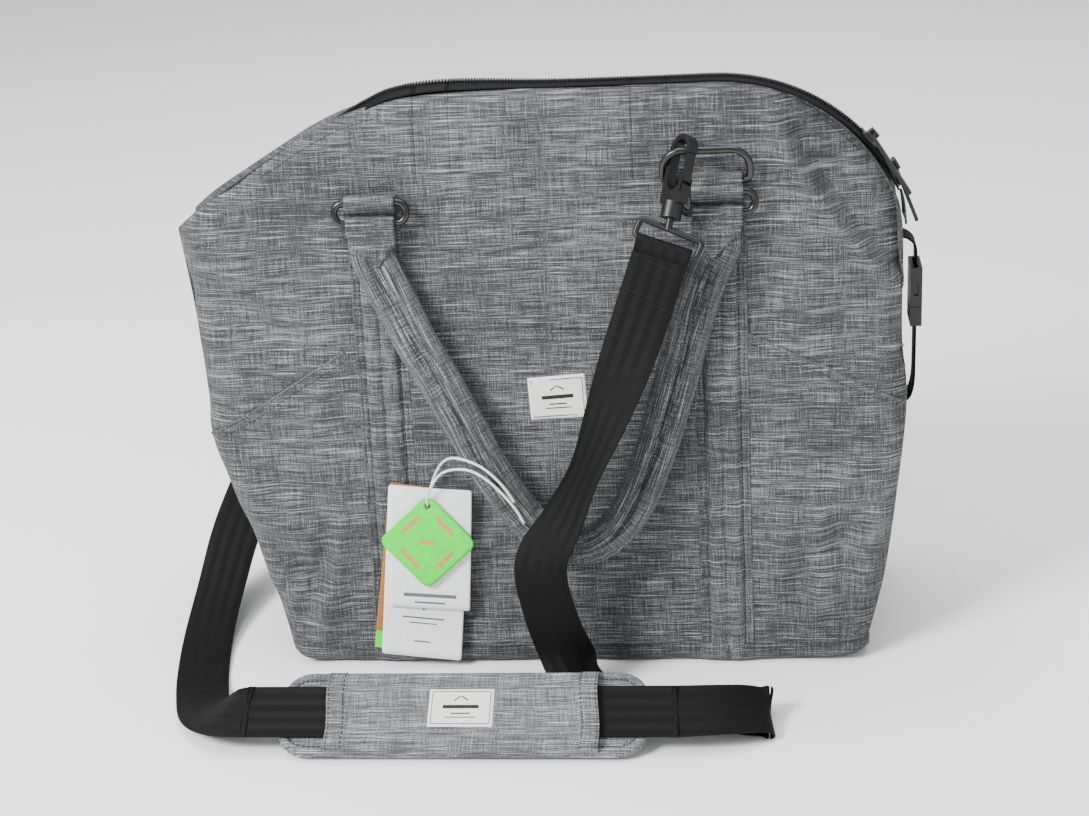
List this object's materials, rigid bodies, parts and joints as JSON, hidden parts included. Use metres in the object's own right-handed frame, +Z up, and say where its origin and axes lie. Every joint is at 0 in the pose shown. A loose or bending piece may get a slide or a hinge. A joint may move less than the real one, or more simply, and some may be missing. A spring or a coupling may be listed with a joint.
{
  "type": "diaper bag",
  "caption": "Soft standing carry-all with arched zipped mouth, hanging handles on rings, slip pockets, side cinch buckles and a clipped padded shoulder strap lying in front.",
  "frame": {"origin": "centre of the base's underside", "axes": "+X to the bag's right, +Y to its back, +Z up; the labelled front faces -Y"},
  "size_m": [0.548, 0.3133, 0.4063],
  "materials": {
    "heather_fabric": "heathered grey woven polyester",
    "lining_fabric": "plain dark lining",
    "board": "stiffening board",
    "zip_black": "black nylon",
    "webbing": "black woven webbing",
    "black_metal": "black coated wire",
    "black_plastic": "moulded black acetal",
    "woven_label": "off-white woven label",
    "kraft_card": "kraft board",
    "white_card": "white card",
    "green_card": "bright green coated card",
    "string": "white elastic string"
  },
  "bodies": {
    "bag": {"base_panel": "heather_fabric", "base_board": "board", "front_panel": "heather_fabric", "back_panel": "heather_fabric", "left_gusset": "heather_fabric", "right_gusset": "heather_fabric", "lining": "lining_fabric", "zip_ends": "zip_black", "zip_end_tabs": "heather_fabric", "front_pocket": "heather_fabric", "left_side_pocket": "heather_fabric", "right_side_pocket": "heather_fabric", "front_strip_left": "heather_fabric", "front_strip_right": "heather_fabric", "back_strips": "heather_fabric", "bag_label": "woven_label", "inner_pocket": "lining_fabric", "front_dee_ring": "black_metal", "back_dee_ring": "black_metal", "right_buckle_socket": "black_plastic", "left_buckle_socket": "black_plastic", "side_straps": "webbing", "strap_front_run": "webbing", "strap_pad_run": "webbing", "strap_back_run": "webbing"},
    "front_lip": {"front_lip": "heather_fabric", "front_zip_tape": "zip_black", "front_zip_coil": "zip_black"},
    "back_lip": {"back_lip": "heather_fabric", "back_zip_tape": "zip_black", "back_zip_coil": "zip_black"},
    "slider_upper": {"slider_upper": "black_metal"},
    "slider_lower": {"slider_lower": "black_metal"},
    "pull_upper": {"pull_upper": "zip_black"},
    "pull_lower": {"pull_lower": "zip_black"},
    "front_ring_left": {"front_ring_left": "black_metal"},
    "front_ring_right": {"front_ring_right": "black_metal"},
    "back_ring_left": {"back_ring_left": "black_metal"},
    "back_ring_right": {"back_ring_right": "black_metal"},
    "front_handle": {"front_handle": "heather_fabric", "front_handle_tabs": "heather_fabric"},
    "back_handle": {"back_handle": "heather_fabric", "back_handle_tabs": "heather_fabric"},
    "front_hook": {"front_hook_body": "black_plastic"},
    "front_gate": {"front_hook_gate": "black_plastic"},
    "front_eye": {"front_hook_eye": "black_plastic"},
    "back_hook": {"back_hook_body": "black_plastic"},
    "back_gate": {"back_hook_gate": "black_plastic"},
    "back_eye": {"back_hook_eye": "black_plastic"},
    "adjuster": {"strap_adjuster": "black_plastic"},
    "pad": {"pad_base": "heather_fabric", "pad_sleeve": "heather_fabric", "pad_label": "woven_label"},
    "right_plug": {"right_buckle_plug": "black_plastic"},
    "left_plug": {"left_buckle_plug": "black_plastic"},
    "tags": {"kraft_tag": "kraft_card", "large_card": "white_card", "small_card": "white_card", "green_tag": "green_card", "tag_string": "string"}
  },
  "joints": [
    {"name": "front_ring_left_swing", "type": "hinge", "parent": "bag", "child": "front_ring_left", "pos_m": [-0.118, -0.03657, 0.33515], "axis": [-1, 0, 0], "range_deg": [0, 150], "deforming": ["strap_front_run"]},
    {"name": "front_ring_right_swing", "type": "hinge", "parent": "bag", "child": "front_ring_right", "pos_m": [0.118, -0.03657, 0.33515], "axis": [-1, 0, 0], "range_deg": [0, 150]},
    {"name": "front_handle_swing", "type": "hinge", "parent": "front_ring_left", "child": "front_handle", "pos_m": [0, -0.03896, 0.32136], "axis": [-1, 0, 0], "range_deg": [0, 3]},
    {"name": "front_hook_swing", "type": "hinge", "parent": "bag", "child": "front_hook", "pos_m": [0.0966, -0.03558, 0.36351], "axis": [-1, 0, 0], "range_deg": [0, 150]},
    {"name": "front_gate_swing", "type": "hinge", "parent": "front_hook", "child": "front_gate", "pos_m": [0.0965, -0.05476, 0.34331], "axis": [-0.7493, -0.4784, 0.4579], "range_deg": [0, 20], "stiffness_Nm_per_rad": 0.01},
    {"name": "front_eye_swivel", "type": "hinge", "parent": "front_hook", "child": "front_eye", "pos_m": [0.08704, -0.05796, 0.32448], "axis": [0.2079, 0.4866, 0.8485], "range_deg": [-15, 15]},
    {"name": "front_lip_fold", "type": "hinge", "parent": "bag", "child": "front_lip", "pos_m": [0, -0.02574, 0.342], "axis": [1, 0, 0], "range_deg": [0, 50]},
    {"name": "back_ring_left_swing", "type": "hinge", "parent": "bag", "child": "back_ring_left", "pos_m": [0.118, 0.03657, 0.33515], "axis": [1, 0, 0], "range_deg": [0, 150], "deforming": ["strap_back_run"]},
    {"name": "back_ring_right_swing", "type": "hinge", "parent": "bag", "child": "back_ring_right", "pos_m": [-0.118, 0.03657, 0.33515], "axis": [1, 0, 0], "range_deg": [0, 150]},
    {"name": "back_handle_swing", "type": "hinge", "parent": "back_ring_left", "child": "back_handle", "pos_m": [0, 0.03896, 0.32136], "axis": [1, 0, 0], "range_deg": [0, 3]},
    {"name": "back_hook_swing", "type": "hinge", "parent": "bag", "child": "back_hook", "pos_m": [-0.0966, 0.03558, 0.36351], "axis": [1, 0, 0], "range_deg": [0, 150]},
    {"name": "back_gate_swing", "type": "hinge", "parent": "back_hook", "child": "back_gate", "pos_m": [-0.0965, 0.05476, 0.34331], "axis": [0.7493, 0.4784, 0.4579], "range_deg": [0, 20], "stiffness_Nm_per_rad": 0.01},
    {"name": "back_eye_swivel", "type": "hinge", "parent": "back_hook", "child": "back_eye", "pos_m": [-0.08704, 0.05796, 0.32448], "axis": [-0.2079, -0.4866, 0.8485], "range_deg": [-15, 15]},
    {"name": "back_lip_fold", "type": "hinge", "parent": "bag", "child": "back_lip", "pos_m": [0, 0.02574, 0.342], "axis": [-1, 0, 0], "range_deg": [0, 50]},
    {"name": "slider_upper_run", "type": "hinge", "parent": "bag", "child": "slider_upper", "pos_m": [0.116, 0, 0.274], "axis": [0, -1, 0], "range_deg": [0, 45]},
    {"name": "slider_lower_run", "type": "hinge", "parent": "bag", "child": "slider_lower", "pos_m": [0.116, 0, 0.274], "axis": [0, -1, 0], "range_deg": [0, 4]},
    {"name": "pull_upper_swing", "type": "hinge", "parent": "slider_upper", "child": "pull_upper", "pos_m": [0.22262, 0, 0.36034], "axis": [0, -1, 0], "range_deg": [0, 100]},
    {"name": "pull_lower_swing", "type": "hinge", "parent": "slider_lower", "child": "pull_lower", "pos_m": [0.23714, 0, 0.33841], "axis": [0, -1, 0], "range_deg": [0, 100]},
    {"name": "right_buckle_release", "type": "slide", "parent": "bag", "child": "right_plug", "axis": [0, 0, -1], "range_m": [0, 0.012]},
    {"name": "left_buckle_release", "type": "slide", "parent": "bag", "child": "left_plug", "axis": [0, 0, -1], "range_m": [0, 0.012]},
    {"name": "pad_slide", "type": "slide", "parent": "bag", "child": "pad", "axis": [1, 0, 0], "range_m": [-0.02, 0.02], "deforming": ["strap_pad_run"]},
    {"name": "adjuster_slide", "type": "slide", "parent": "bag", "child": "adjuster", "axis": [0.6079, -0.1073, 0.7867], "range_m": [-0.02, 0.02]},
    {"name": "tag_swing", "type": "hinge", "parent": "front_handle", "child": "tags", "pos_m": [-0.023, -0.08336, 0.12252], "axis": [-1, 0, 0], "range_deg": [-150, 0], "deforming": ["tag_string", "kraft_tag", "large_card", "small_card"]}
  ],
  "couplings": [
    {"joint": "front_ring_right_swing", "follows": "front_ring_left_swing", "ratio": 1},
    {"joint": "front_hook_swing", "follows": "front_ring_left_swing", "ratio": 1},
    {"joint": "back_ring_right_swing", "follows": "back_ring_left_swing", "ratio": 1},
    {"joint": "back_hook_swing", "follows": "back_ring_left_swing", "ratio": 1},
    {"joint": "tag_swing", "follows": "front_ring_left_swing", "ratio": -1}
  ]
}
